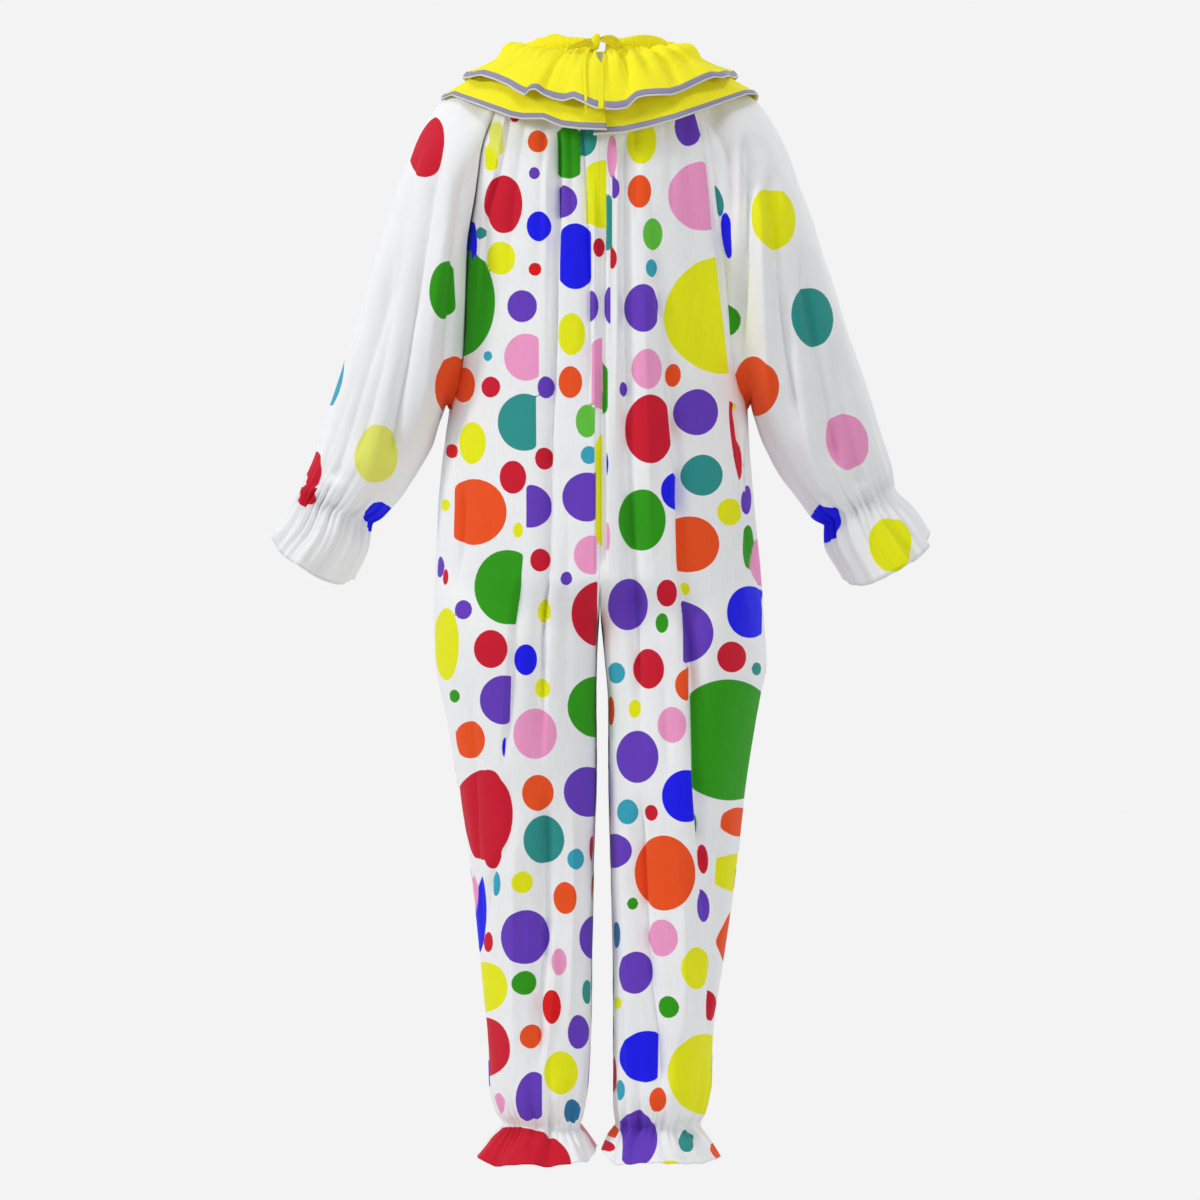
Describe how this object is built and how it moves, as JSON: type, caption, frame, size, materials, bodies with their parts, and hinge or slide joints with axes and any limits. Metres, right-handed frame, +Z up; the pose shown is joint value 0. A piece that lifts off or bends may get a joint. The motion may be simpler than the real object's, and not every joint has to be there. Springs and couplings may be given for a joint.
{
  "type": "clown costume",
  "caption": "Loose one-piece clown suit of white cotton with coloured spots, a gathered two-tier yellow collar tied at the nape, and ruffled wrists and ankles.",
  "frame": {"origin": "the middle of the neck at shoulder height, where the suit rests on the neck and shoulders of whoever wears it, or hangs from a stand", "axes": "+Z up; the wearer faces +Y, so the back with the bow faces -Y; +X is the wearer's right"},
  "size_m": [0.8434, 0.3339, 1.431],
  "materials": {
    "spotted_cotton": "matt white plain weave with coloured spots",
    "yellow_cotton": "matt lemon-yellow plain weave",
    "grey_ribbon": "slight satin sheen, grey-lavender"
  },
  "bodies": {
    "root": {"back_left": "spotted_cotton", "back_right": "spotted_cotton", "front_left": "spotted_cotton", "front_right": "spotted_cotton", "sleeve_left": "spotted_cotton", "sleeve_right": "spotted_cotton", "collar_upper": "yellow_cotton", "collar_lower": "yellow_cotton", "neck_casing": "yellow_cotton", "trim_upper": "grey_ribbon", "trim_lower": "grey_ribbon", "tie_knot": "yellow_cotton", "tie_loop_left": "yellow_cotton", "tie_loop_right": "yellow_cotton", "tie_tail_left": "yellow_cotton"}
  },
  "joints": []
}
